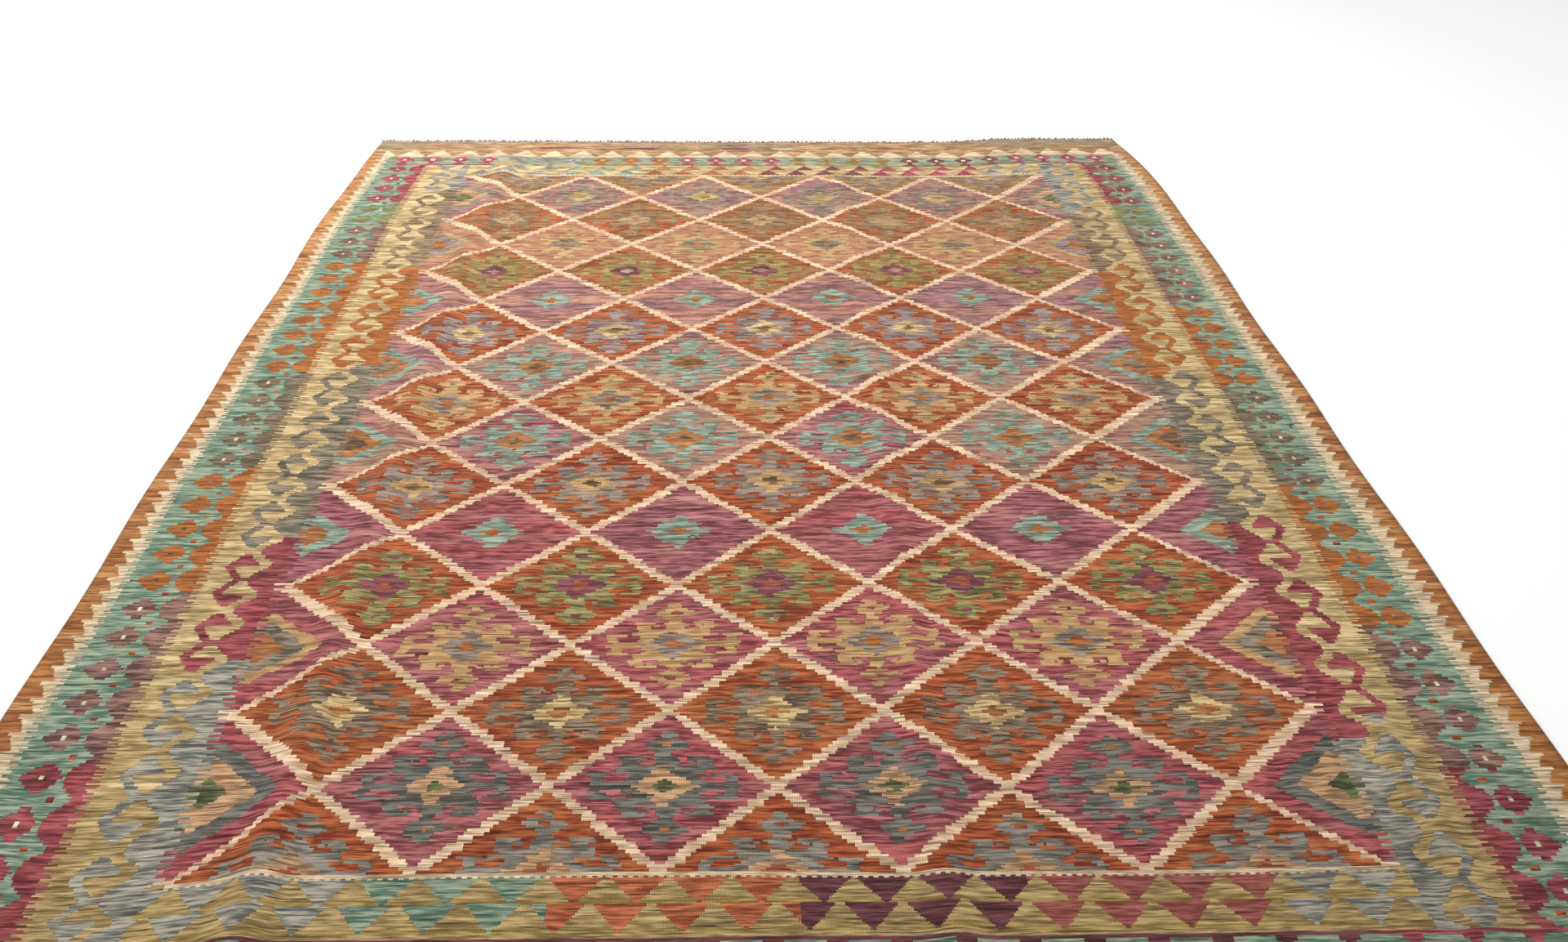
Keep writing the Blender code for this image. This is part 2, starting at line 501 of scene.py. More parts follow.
def weave_side(side, block):
    """A side border, woven from the selvedge inwards, from where the block's columns count."""
    warps = np.arange(block.shape[1]) + 0.5
    cream_comb = combed(ROWS)
    gold_comb = combed(ROWS)
    slack = uneven(ROWS)
    rows = np.arange(ROWS)
    teeth = np.interp(rows, *side["tooth_beats"]) % 1.0
    flower_beats = np.interp(rows + 0.5, *side["flower_beats"])
    from_beat = np.abs(flower_beats - np.round(flower_beats)) * FLOWER_ROWS
    flowers = sections(side["flower_ends"], FLOWER_YARNS, rows)
    eyes = sections(side["flower_ends"], EYE_YARNS, rows)
    from_join = np.abs((np.interp(rows, *side["hook_beats"]) + 1.0) % 2.0 - 1.0) * HOOK_LENGTH
    hooks = sections(side["hook_ends"], HOOK_YARNS, rows)
    inners = sections(side["hook_ends"], HOOK_YARNS, rows - side["slip"])
    from_first = np.abs(warps - side["first"])
    from_second = np.abs(warps - side["second"])
    in_hooks = warps - GOLD_STRIPE_END
    for row in rows:
        line = block[row]
        foot = TOOTH_FOOT + TOOTH_REACH * (1.0 - int(teeth[row] * TOOTH_STEPS) / TOOTH_STEPS)
        cream_end = side["cream"][cream_comb[row]] + slack[row] * CREAM_SLACK
        line[:] = YARN_NUMBER["cream"]
        line[warps < foot] = blended(EDGE_BLEND, row)
        line[warps >= cream_end] = YARN_NUMBER["teal"]

        rows_out = from_beat[row]
        second_out = abs(rows_out - FLOWER_ROWS / 2)
        line[from_first < flower_width(rows_out)] = flowers[row]
        if rows_out > NECK_GAP:
            line[from_second < FLOWER_NECK] = YARN_NUMBER["teal"]
        second_edge = side["second"] + max(FLOWER_NECK, flower_width(second_out))
        line[warps >= second_edge] = flowers[row]
        if rows_out <= EYE_ROWS:
            line[from_first < FIRST_EYE] = eyes[row]
        if second_out <= EYE_ROWS:
            line[from_second < SECOND_EYE] = YARN_NUMBER["rust"]

        line[warps >= GOLD_EDGE[gold_comb[row]] + slack[row]] = blended(GOLD_BLEND, row)
        hook_row = HOOK_LENGTH - from_join[row] + 0.5
        _, own, inner_start = [hook for hook in HOOK_ROWS if hook_row >= hook[0]][-1]
        line[(in_hooks >= own[0]) & (in_hooks < own[1])] = hooks[row]
        line[in_hooks >= inner_start] = inners[row]


weave_side(SIDES[0], chart[:, :FIELD_LEFT + 4])
weave_side(SIDES[1], chart[:, ::-1][:, :FIELD_LEFT + 4])

# The field: a cream lattice, whose diamonds are filled row by row.
comb_pick = np.arange(ROWS) // COMB_ROWS
comb = np.where(comb_pick % 2, *FIELD_COMB) + uneven(ROWS // COMB_ROWS + 1)[comb_pick]
sides = chart.copy()
field = chart[FIELD_NEAR:FIELD_FAR, FIELD_LEFT - CHEVRON_FOOT:FIELD_RIGHT + CHEVRON_FOOT]
field[:] = YARN_NUMBER["lattice cream"]
for number, yarns in enumerate(LONG_ROWS):
    centre_row = FIELD_NEAR + number * 2 * HALF_DIAMOND
    for place in range(DIAMONDS_ACROSS):
        weave_diamond(FIELD_LEFT + (2 * place + 1) * HALF_DIAMOND, centre_row, *yarns)
for number, (ground, *others) in enumerate(SHORT_ROWS):
    centre_row = FIELD_NEAR + (2 * number + 1) * HALF_DIAMOND
    for place in range(1, DIAMONDS_ACROSS):
        own = SECOND_GROUND.get(ground, ground) if place % 2 else ground
        weave_diamond(FIELD_LEFT + 2 * place * HALF_DIAMOND, centre_row, own, *others)
    for tip_warp, inward in ((FIELD_LEFT, 1), (FIELD_RIGHT, -1)):
        weave_side_chevrons(tip_warp, inward, centre_row - 2, ground, SIDE_CHEVRONS[number])
# The comb where the field meets the side borders.
warps = np.arange(WARPS)[None, :]
outside = (warps < comb[:, None]) | (warps >= WARPS - comb[:, None])
chart[outside] = sides[outside]

# The ends. From the field outwards: a beaded cream line, two rows of triangles on gold, a row
# of flowers on teal, a cream sawtooth, and a plain band that is turned under.
# Each end: the line's row, the way outwards, and how many rows out the gold, the flowers and the
# sawtooth end. Triangles, flowers and saw teeth have a first place and a pitch, in warps, and
# their sections of colour end at some warps.
ENDS = (
    dict(line=FIELD_NEAR, outward=-1, gold_end=35, flower_end=57, saw_end=71,
         gold="near gold", ground="teal",
         bases=(23, 21), heights=(15, 15), offset=-6, first=8, pitch=24.0,
         triangle_ends=(176, 250, 347, 436, 533),
         triangle_yarns=("light blue grey", "teal", "salmon", "aubergine", "end crimson",
                         "light blue grey"),
         flower_pitch=24.0, flower_first=24.0, bloom=0.78,
         flower_ends=(564,), flower_yarns=("aubergine", "crimson"), eye_yarns=("white", "white"),
         saw_pitch=24.0, saw_first=24.0),
    dict(line=FIELD_FAR, outward=1, gold_end=26, flower_end=48, saw_end=65,
         gold="gold", ground="pale teal",
         bases=(20, 15), heights=(13, 11), offset=7.5, first=20.5, pitch=24.2,
         triangle_ends=(178, 244, 340, 436, 529),
         triangle_yarns=("light blue grey", "teal", "coral", "far aubergine", "far crimson",
                         "light blue grey"),
         flower_pitch=24.46, flower_first=32.6, bloom=0.92,
         flower_ends=(118, 186, 266, 366, 466, 566),
         flower_yarns=("far crimson", "light blue grey", "orange", "far crimson", "olive",
                       "far aubergine", "far crimson"),
         eye_yarns=("white", "dusk", "straw", "white", "rust pink", "white", "white"),
         saw_pitch=24.88, saw_first=35.6),
)
LINE_ROWS = 2
FLOWER_HEAD = 14
HEAD_SQUEEZE = 1.02
# Rows out of the gold, and half the width in warps, of the strip, foot and stalk of each flower.
STRIP_ROWS = 2
FOOT_ROWS, FOOT_REACH = 5, 4.5
STALK_ROWS, STALK_REACH = 10, 1.6
END_EYE_ROWS, END_EYE_REACH = 1.6, 1.8
# How far from the selvedges the triangles, the strip, the flowers and the sawtooth begin.
TRIANGLE_START, STRIP_START, FLOWER_START, SAW_START = 93, 36, 26, 11
END_COMB = (15.0, 19.0)
BAND_EDGE_ROWS = 3
# The left-over yarns lie in patches that two waves make: size, pace across, pace along, start.
# Olive starts at one height of the waves. Grey starts nearer the edge, by a wave of its own.
MIX_WAVES = ((1.0, 0.021, 0.0, 1.3), (0.6, 0.057, 0.15, 2.0))
GREY_WAVE = ((0.4, 0.033, 1.9, 0.0),)
OLIVE_FROM, GREY_FROM = 0.75, 0.85
MIX_IN_GREY = 0.3
# Short lines of other yarns in the turned band: from warp, to warp, yarn.
DASH_ROWS = (5, 9)
DASH_RAGGED = 12
DASHES = (
    (132, 178, "far crimson"), (212, 246, "far aubergine"), (300, 330, "far crimson"),
    (350, 368, "cream"), (396, 404, "umber"), (440, 470, "rust pink"),
    (478, 500, "cream"), (560, 590, "end grey"),
)


def from_nearest(warps, first, pitch):
    """How far each warp is from the nearest of some evenly spaced places."""
    return (warps - first + pitch / 2) % pitch - pitch / 2


def weave_triangles(end, line, out, warps, inside, yarns):
    """One row of the gold band with its two rows of triangles, and the beaded line at its foot."""
    line[inside] = YARN_NUMBER[end["gold"]]
    foot = LINE_ROWS
    for level, (height, base) in enumerate(zip(end["heights"], end["bases"])):
        if foot <= out < foot + height:
            share = 1.0 - (out - foot) / height
            middle = end["first"] + level * end["offset"] + end["pitch"] / 2
            filled = inside & (np.abs(from_nearest(warps, middle, end["pitch"])) < share * base / 2)
            line[filled] = yarns[filled]
            if out >= foot + height - 2 and end["outward"] < 0:
                line[inside & ~filled] = YARN_NUMBER["ochre"]
        foot += height
    beaded = (warps > FIELD_LEFT) & (warps < FIELD_RIGHT)
    if out == LINE_ROWS:
        beaded &= warps.astype(int) // 2 % 2 == 0
    if out <= LINE_ROWS:
        line[beaded] = YARN_NUMBER["cream"]


def weave_flowers(end, line, out, warps, from_side, yarns, eyes):
    """One row of the flowers, which stand on a strip of their own colour."""
    in_band = out - end["gold_end"]
    if in_band < STRIP_ROWS:
        line[from_side > STRIP_START] = yarns[from_side > STRIP_START]
    from_middle = np.abs(from_nearest(warps, end["flower_first"], end["flower_pitch"]))
    from_head = abs(in_band + 0.5 - FLOWER_HEAD)
    heads = from_middle < flower_width(from_head * HEAD_SQUEEZE / end["bloom"]) * end["bloom"]
    if in_band < STALK_ROWS:
        heads |= from_middle < STALK_REACH
    if in_band < FOOT_ROWS:
        heads |= from_middle < FOOT_REACH
    heads &= from_side > FLOWER_START
    line[heads] = yarns[heads]
    if from_head <= END_EYE_ROWS:
        eye = (from_middle < END_EYE_REACH) & (from_side > FLOWER_START)
        line[eye] = eyes[eye]


def band_waves(waves, warps, out):
    """The height of some waves at each warp of a row."""
    return sum(size * np.sin(warps * pace_across + out * pace_along + start)
               for size, pace_across, pace_along, start in waves)


def weave_turned_band(end, line, out, warps, rows_left):
    """One row of the plain band, in mixed left-over yarns."""
    in_band = out - end["saw_end"]
    mix = band_waves(MIX_WAVES, warps, out)
    line[mix > OLIVE_FROM] = YARN_NUMBER["end olive"]
    outer = in_band / (rows_left - end["saw_end"]) + band_waves(GREY_WAVE, warps, out)
    line[mix * MIX_IN_GREY + outer > GREY_FROM] = YARN_NUMBER["end grey"]
    if out >= rows_left - BAND_EDGE_ROWS:
        line[:] = YARN_NUMBER["end grey"]
    if DASH_ROWS[0] <= in_band < DASH_ROWS[1]:
        for start, stop, yarn in DASHES:
            ragged = hand.integers(0, DASH_RAGGED)
            line[(warps > start + ragged) & (warps < stop + ragged)] = YARN_NUMBER[yarn]


def weave_end(end):
    """An end border, woven outwards from the field's line."""
    warps = np.arange(WARPS) + 0.5
    from_side = np.minimum(warps, WARPS - warps)
    in_field = from_side > TRIANGLE_START
    triangle_yarns = sections(end["triangle_ends"], end["triangle_yarns"], warps)
    flower_yarns = sections(end["flower_ends"], end["flower_yarns"], warps)
    eye_yarns = sections(end["flower_ends"], end["eye_yarns"], warps)
    rows_left = end["line"] if end["outward"] < 0 else ROWS - end["line"]
    end_comb = combed(rows_left)
    for out in range(rows_left):
        row = end["line"] + out if end["outward"] > 0 else end["line"] - 1 - out
        line = chart[row]
        if out < end["gold_end"]:
            weave_triangles(end, line, out, warps, in_field, triangle_yarns)
        elif out < end["flower_end"]:
            line[from_side > END_COMB[end_comb[out]]] = YARN_NUMBER[end["ground"]]
            weave_flowers(end, line, out, warps, from_side, flower_yarns, eye_yarns)
        else:
            line[:] = YARN_NUMBER["end orange"]
            if out < end["saw_end"]:
                share = 1.0 - (out - end["flower_end"]) / (end["saw_end"] - end["flower_end"])
                from_tooth = np.abs(from_nearest(warps, end["saw_first"], end["saw_pitch"]))
                saw = (from_tooth < share * end["saw_pitch"] / 2) & (from_side > SAW_START)
                line[saw] = YARN_NUMBER["lattice cream"]
            else:
                weave_turned_band(end, line, out, warps, rows_left)


for end in ENDS:
    weave_end(end)

# The woven sheet carries the chart on its faces. Each face is one step of the design, four
# warps by four rows, and holds the yarns of its sixteen crossings.
COLUMNS = WARPS // STEP
LINES = ROWS // STEP
FIELD_EDGE = 0.709
FIELD_END = 1.1897
# Where the weft was beaten unevenly, the design has drifted: across, along, reach across,
# reach along, and how far it has moved across and along.
DRIFTS = (
    (-0.55, 0.10, 0.32, 0.80, 0.000, -0.018),
    (-0.42, 0.10, 0.32, 0.90, -0.0075, 0.000),
    (-0.25, -0.55, 0.30, 0.40, 0.000, -0.007),
    (0.15, 0.20, 0.35, 0.70, 0.000, 0.006),
    (0.35, -1.05, 0.55, 0.35, -0.003, -0.009),
    (0.42, 0.90, 0.40, 0.50, 0.005, -0.010),
    (-0.45, 0.85, 0.35, 0.45, -0.006, 0.000),
    (-0.84, -1.20, 0.26, 0.24, 0.000, -0.028),
    (-0.70, -1.12, 0.16, 0.30, 0.012, 0.000),
)
# Where tight wefts pucker the cloth: across, along, reach across, reach along, height of the
# ripples and how many to a metre.
RIPPLES = (
    (0.24, -0.72, 0.13, 0.22, 0.0024, 26.0),
    (0.27, -0.98, 0.12, 0.14, 0.0020, 27.0),
    (0.22, -0.36, 0.12, 0.16, 0.0016, 25.0),
    (0.66, -1.02, 0.16, 0.20, 0.0018, 24.0),
    (-0.64, -0.80, 0.12, 0.25, 0.0014, 25.0),
)
RIPPLE_LEAN = 0.6
RIPPLE_BEND = (3.0, 14.0)
# The field lies shifted sideways between two places across: where each begins, and over how much.
FIELD_SHIFT = 0.0035
SHIFT_LEFT = (-0.60, 0.40)
SHIFT_RIGHT = (0.80, 0.14)
SELVEDGE_RISE = 0.0008
SELVEDGE_WIDTH = 0.006
TURNED_END = 0.0072
TURNED_RISE = 0.0012
PUCKER = 0.0006
WEFT_DRIFT = 0.0012
WARP_DRIFT = 0.0008
EVEN_EDGE = 0.04
NOISE_WAVES = 7
NOISE_LEAN = 0.9
NOISE_STRETCH = (0.6, 1.6)
FULL_TURN = 6.283


def soft_noise(wave_across, wave_along, seed):
    """A few crossed waves over the cloth with no visible repeat, between -1 and 1."""
    waves = np.random.default_rng(seed)
    total = np.zeros_like(across)
    for _ in range(NOISE_WAVES):
        turn = waves.uniform(0, FULL_TURN)
        lean = waves.uniform(-NOISE_LEAN, NOISE_LEAN)
        stretch = waves.uniform(*NOISE_STRETCH)
        place = across / wave_across * (1 - abs(lean)) + along / wave_along * lean
        total += np.sin(FULL_TURN * stretch * place + turn)
    return total / 4.0


def around(centre, middle, reach_across, reach_along):
    """1 at one place on the cloth, and fading to 0 as far as it reaches."""
    return hump((across - centre) / reach_across) * hump((along - middle) / reach_along)


warp_places = np.interp(np.arange(COLUMNS + 1) * STEP, (0, FIELD_LEFT, FIELD_RIGHT, WARPS),
                        (-RUG_WIDTH / 2, -FIELD_EDGE, FIELD_EDGE, RUG_WIDTH / 2))
row_places = np.interp(np.arange(LINES + 1) * STEP, (0, FIELD_NEAR, FIELD_FAR, ROWS),
                       (-RUG_LENGTH / 2, -FIELD_END, FIELD_END, RUG_LENGTH / 2))
across, along = np.meshgrid(warp_places, row_places)
from_side, from_end = RUG_WIDTH / 2 - np.abs(across), RUG_LENGTH / 2 - np.abs(along)
x, y, z = laid(across, along)
x -= (x.min() + x.max()) / 2
y -= (y.min() + y.max()) / 2
inner = ease(from_side / EVEN_EDGE) * ease(from_end / EVEN_EDGE)
y = y + WEFT_DRIFT * soft_noise(0.35, 0.12, 3) * inner
x = x + WARP_DRIFT * soft_noise(0.2, 0.5, 4) * inner
x = x + (FIELD_SHIFT * ease((across - SHIFT_LEFT[0]) / SHIFT_LEFT[1])
         * ease((SHIFT_RIGHT[0] - across) / SHIFT_RIGHT[1]))
for *patch, move_across, move_along in DRIFTS:
    x = x + move_across * around(*patch)
    y = y + move_along * around(*patch)
ripple = np.zeros_like(across)
for *patch, rise, per_metre in RIPPLES:
    bend = RIPPLE_BEND[0] * np.sin(RIPPLE_BEND[1] * along)
    wave = np.sin(2 * pi * per_metre * (across - patch[0]) + bend)
    ripple += rise * around(*patch) * (0.5 + 0.5 * wave)
y = y + RIPPLE_LEAN * ripple
lift = ripple + PUCKER * (0.5 + 0.5 * soft_noise(0.09, 0.22, 5)) * inner
lift += SELVEDGE_RISE * hump(from_side / SELVEDGE_WIDTH)
lift += TURNED_RISE * (1.0 - ease(from_end / TURNED_END - 1.0))
top = z + CLOTH_THICKNESS + lift

points_across = COLUMNS + 1
count = across.size
verts = np.concatenate([np.stack([x, y, height], -1).reshape(-1, 3) for height in (top, z)])
corner = (np.arange(LINES)[:, None] * points_across + np.arange(COLUMNS)).reshape(-1)
top_faces = np.stack([corner, corner + 1, corner + 1 + points_across, corner + points_across], -1)
under_faces = top_faces[:, [0, 3, 2, 1]] + count
near_edge = np.arange(points_across)
far_edge = near_edge + LINES * points_across
left_edge = np.arange(LINES + 1) * points_across
step_of_face = np.arange(LINES * COLUMNS)
faces, face_step = [top_faces, under_faces], [step_of_face, step_of_face]
# Each edge: its points, whether its faces turn the other way, and the steps that it borders.
for edge, turned, steps in (
    (near_edge, False, step_of_face[:COLUMNS]),
    (far_edge, True, step_of_face[-COLUMNS:]),
    (left_edge, True, step_of_face[::COLUMNS]),
    (left_edge + COLUMNS, False, step_of_face[COLUMNS - 1::COLUMNS]),
):
    start, stop = edge[:-1], edge[1:]
    side_faces = np.stack([start, start + count, stop + count, stop], -1)
    faces.append(side_faces[:, ::-1] if turned else side_faces)
    face_step.append(steps)
faces, face_step = np.concatenate(faces), np.concatenate(face_step)

cloth_mesh = bpy.data.meshes.new("woven_rug")
cloth_mesh.from_pydata(verts.tolist(), [], faces.tolist())
cloth_mesh.update()


def by_step(values):
    """The four by four crossings of each step, a step to a row."""
    blocks = values.reshape(LINES, STEP, COLUMNS, STEP).transpose(0, 2, 1, 3)
    return blocks.reshape(-1, STEP, STEP).astype(np.float64)


def face_number(name, numbers):
    """A number on each face, from the number of the step that it belongs to."""
    attribute = cloth_mesh.attributes.new(name, "FLOAT", "FACE")
    attribute.data.foreach_set("value", numbers[face_step].astype(np.float32))


def corner_map(name, places):
    """A map with a place for each corner of each face."""
    corner_places = cloth_mesh.uv_layers.new(name=name)
    corner_places.data.foreach_set("uv", places.astype(np.float32).reshape(-1))


# Yarns of the sixteen crossings, packed a row of four to a number.
PACK = 64
yarns = by_step(chart)
for line in range(STEP):
    face_number(f"weft_{line}", yarns[:, line] @ (float(PACK) ** np.arange(STEP)))

# Slits: where one yarn stops against another along the same warp for two rows or more.
differs = np.zeros((ROWS, WARPS), bool)
differs[:, :-1] = chart[:, :-1] != chart[:, 1:]
slit = differs.copy()
slit[1:] &= differs[:-1] | np.roll(differs, -1, axis=0)[1:]
face_number("slits", by_step(slit).reshape(-1, STEP * STEP) @ (2.0 ** np.arange(STEP * STEP)))

# Two maps: where each corner lies on the flat cloth, and where it lies within its own step.
flat_places = np.stack([across / RUG_WIDTH + 0.5, along / RUG_LENGTH + 0.5], -1).reshape(-1, 2)
corner_number = faces.reshape(-1) % count
corner_step = np.repeat(face_step, faces.shape[1])
corner_map("on_cloth", flat_places[corner_number])
corner_map("in_step", np.stack([corner_number % points_across - corner_step % COLUMNS,
                                corner_number // points_across - corner_step // COLUMNS], -1))

cloth = placed("woven_rug", cloth_mesh)
cloth_mesh.shade_smooth()


# The wool's finish: yarn colours from the chart, streaked along the weft, ribbed by the warp
# beneath, with the small bumps of the weft over each warp.
def linear(code):
    """A yarn's colour, from its shade code to linear light."""
    values = [int(code[i:i + 2], 16) / 255 for i in (0, 2, 4)]
    return (*(v / 12.92 if v <= 0.04045 else ((v + 0.055) / 1.055) ** 2.4 for v in values), 1.0)


def finish(name, roughness):
    """A new material, its node tree and its shader."""
    made = bpy.data.materials.new(name)
    made.use_nodes = True
    shader = made.node_tree.nodes["Principled BSDF"]
    shader.inputs["Roughness"].default_value = roughness
    return made, made.node_tree, shader


wool, tree, shader = finish("streaked_wool", 0.92)
shader.inputs["Specular IOR Level"].default_value = 0.12
shader.inputs["Sheen Weight"].default_value = 0.05
shader.inputs["Sheen Roughness"].default_value = 0.6


def feed(socket, value):
    """Link a socket to another, or set its value."""
    if isinstance(value, bpy.types.NodeSocket):
        tree.links.new(value, socket)
    else:
        socket.default_value = value


def node(kind, inputs=(), **settings):
    """A new node in the tree, with its settings and what goes into its sockets."""
    made = tree.nodes.new(kind)
    for name, value in settings.items():
        setattr(made, name, value)
    for socket, value in dict(inputs).items():
        feed(made.inputs[socket], value)
    return made


def calc(operation, *values, clamp=False):
    made = node("ShaderNodeMath", enumerate(values), operation=operation, use_clamp=clamp)
    return made.outputs[0]


def times(first, second):
    return calc("MULTIPLY", first, second)


def varied(noise, strength, middle, clamp=False):
    """A noise stretched about a middle value."""
    return calc("MULTIPLY_ADD", calc("SUBTRACT", noise, 0.5), strength, middle, clamp=clamp)


def mixed(factor, first, second):
    return node("ShaderNodeMix", {0: factor, 6: first, 7: second}, data_type="RGBA").outputs[2]


def point(*values):
    """A vector from three numbers."""
    return node("ShaderNodeCombineXYZ", enumerate(values)).outputs[0]


def attribute(name):
    return node("ShaderNodeAttribute", attribute_name=name).outputs["Fac"]


def uv(name):
    place = node("ShaderNodeUVMap", uv_map=name).outputs["UV"]
    split = node("ShaderNodeSeparateXYZ", {0: place})
    return split.outputs[0], split.outputs[1]


def digit(code, base, place):
    """One digit of a number in some base, counted from the smallest."""
    shifted = calc("FLOOR", calc("DIVIDE", code, calc("POWER", base, place)))
    higher = calc("FLOOR", calc("DIVIDE", shifted, base))
    return calc("SUBTRACT", shifted, times(higher, base))


in_u, in_v = uv("in_step")
warps_in = times(in_u, float(STEP))
column = calc("MINIMUM", calc("FLOOR", warps_in), STEP - 1.0)
line = calc("MINIMUM", calc("FLOOR", times(in_v, float(STEP))), STEP - 1.0)
packed = 0.0
for number in range(STEP):
    here = calc("COMPARE", line, float(number), 0.25)
    packed = calc("MULTIPLY_ADD", here, attribute(f"weft_{number}"), packed)
yarn = digit(packed, float(PACK), column)

RAMP_STOPS = 32


def shade_card(choice):
    """The dark or the light shade of the yarn: one ramp for the first 32, another for the rest."""
    shades = []
    for first in (0, RAMP_STOPS):
        ramp = node("ShaderNodeValToRGB")
        ramp.color_ramp.interpolation = "CONSTANT"
        stops = ramp.color_ramp.elements
        while len(stops) > 1:
            stops.remove(stops[-1])
        for number, name in enumerate(list(YARNS)[first:first + RAMP_STOPS]):
            stop = stops[0] if number == 0 else stops.new(number / RAMP_STOPS)
            stop.position = number / RAMP_STOPS
            stop.color = linear(YARNS[name].split()[choice])
        from_first = calc("SUBTRACT", calc("ADD", yarn, 0.5), float(first))
        feed(ramp.inputs[0], calc("DIVIDE", from_first, float(RAMP_STOPS)))
        shades.append(ramp.outputs["Color"])
    return mixed(calc("GREATER_THAN", yarn, RAMP_STOPS - 0.5), *shades)


dark_shade = shade_card(0)
light_shade = shade_card(1)

flat_u, flat_v = uv("on_cloth")
across_m = times(flat_u, RUG_WIDTH)
along_m = times(flat_v, RUG_LENGTH)


def streak(per_metre_across, per_metre_along, detail, shift):
    """Noise drawn out along the weft, different for each yarn."""
    place = point(
        times(across_m, per_metre_across),
        times(along_m, per_metre_along),
        calc("ADD", times(yarn, 3.7), shift),
    )
    inputs = {"Scale": 1.0, "Detail": detail, "Roughness": 0.7, "Vector": place}
    return node("ShaderNodeTexNoise", inputs, noise_dimensions="3D").outputs[0]


# The dye drifts over a few picks and from pick to pick, and from one dyeing to the next.
dye = streak(18.0, 125.0, 2.0, 0.0)
pick = streak(36.0, 520.0, 1.0, 40.0)
lot = streak(1.5, 14.0, 2.0, 80.0)
drift = varied(pick, 3.0, varied(dye, 5.0, 0.5), clamp=True)
colour = mixed(drift, dark_shade, light_shade)
brightness = varied(lot, 0.5, 1.0)


def dimmed(share, strength, start=1.0):
    """The brightness so far, times a start value and a share of the strength."""
    return times(brightness, calc("MULTIPLY_ADD", share, strength, start))


# Painted shade: the near end is darkened, above all at its right, where less light falls on it.
NEAR_SHADE_SHARE = 0.25
near_end_shade = calc("SUBTRACT", 1.0, calc("DIVIDE", flat_v, NEAR_SHADE_SHARE), clamp=True)
brightness = dimmed(times(near_end_shade, calc("MULTIPLY_ADD", flat_u, 0.22, 0.07)), -1.0)
# Dark picks: where the weft was beaten in loosely, its shadow runs along the row.
gap = streak(10.0, 270.0, 2.0, 120.0)
gap_depth = calc("MULTIPLY_ADD", calc("SUBTRACT", gap, 0.56), 12.0, 0.0, clamp=True)
brightness = dimmed(gap_depth, -0.76, 1.18)
# Uneven spinning: each pick is thicker and thinner along its length.
slub = streak(26.0, 300.0, 1.0, 160.0)
brightness = dimmed(calc("SUBTRACT", slub, 0.5), 1.3)
# Ribs: the cloth is raised over each warp, and shaded between two.
rib = calc("ABSOLUTE", calc("SINE", times(in_u, STEP * pi)))
brightness = dimmed(calc("POWER", rib, 0.6), 0.26, 0.80)
# Painted shadow: slits show dark, at the far edge of their warp.
SLIT_EDGE = 0.84
cell = calc("ADD", times(line, float(STEP)), column)
beside = calc("GREATER_THAN", calc("FRACT", warps_in), SLIT_EDGE)
slit_mask = times(digit(attribute("slits"), 2.0, cell), beside)
brightness = dimmed(slit_mask, -0.42)

scaled = node("ShaderNodeVectorMath", {0: colour, "Scale": brightness}, operation="SCALE")
feed(shader.inputs["Base Color"], scaled.outputs[0])

# Weft beads: each pick passes over every other warp, and the next over the rest.
PICKS_TO_A_ROW = 2
parity = times(calc("FLOOR", warps_in), 0.5)
bead_turn = calc("MULTIPLY_ADD", in_v, STEP * PICKS_TO_A_ROW / 2, parity)
bead = calc("MULTIPLY_ADD", calc("SINE", times(bead_turn, 2.0 * pi)), 0.5, 0.5)
height = times(rib, calc("MULTIPLY_ADD", bead, 0.4, 0.6))
for part, share in ((slit_mask, -0.6), (pick, 0.5), (gap_depth, -0.8)):
    height = calc("MULTIPLY_ADD", part, share, height)
bump = node("ShaderNodeBump", {"Strength": 0.6, "Distance": 0.0009, "Height": height})
feed(shader.inputs["Normal"], bump.outputs[0])
cloth_mesh.materials.append(wool)

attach(cloth, "root")
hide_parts("woven_cloth")

# ------------------------
# The tufts along both ends: undyed wool and cotton, where the warps are turned back and the
# fold has frayed, so that short wisps stand out of the edge. They are part of the cloth.
TUFT_SPACING = 0.0040
TUFT_LENGTH = 0.0075
TUFT_RADIUS = 0.0011
TUFT_SIDES = 4
TUFT_SEED = 7
TUFT_RISES = (0.0, 0.0070, 0.0010)
EDGE_INSET = 0.002
EDGE_HEIGHT = 0.0024

fray, tree, shader = finish("frayed_wool", 0.95)
place = node("ShaderNodeTexCoord").outputs["Object"]
patch = node("ShaderNodeTexNoise", {"Scale": 55.0, "Detail": 3.0, "Vector": place}).outputs[0]
patch_share = varied(patch, 3.5, 0.5, clamp=True)
feed(shader.inputs["Base Color"], mixed(patch_share, linear("4a3828"), linear("947b60")))

tree = bpy.data.node_groups.new("frayed_edge", "GeometryNodeTree")
tree.interface.new_socket("Edge", in_out="INPUT", socket_type="NodeSocketGeometry")
for name in ("Spacing", "Length", "Radius"):
    tree.interface.new_socket(name, in_out="INPUT", socket_type="NodeSocketFloat")
tree.interface.new_socket("Seed", in_out="INPUT", socket_type="NodeSocketInt")
tree.interface.new_socket("Tufts", in_out="OUTPUT", socket_type="NodeSocketGeometry")
given = node("NodeGroupInput").outputs
edge_curve = node("GeometryNodeMeshToCurve", {"Mesh": given["Edge"]})
spacing = {"Curve": edge_curve.outputs["Curve"], "Length": given["Spacing"]}
places = node("GeometryNodeResampleCurve", spacing, mode="LENGTH")

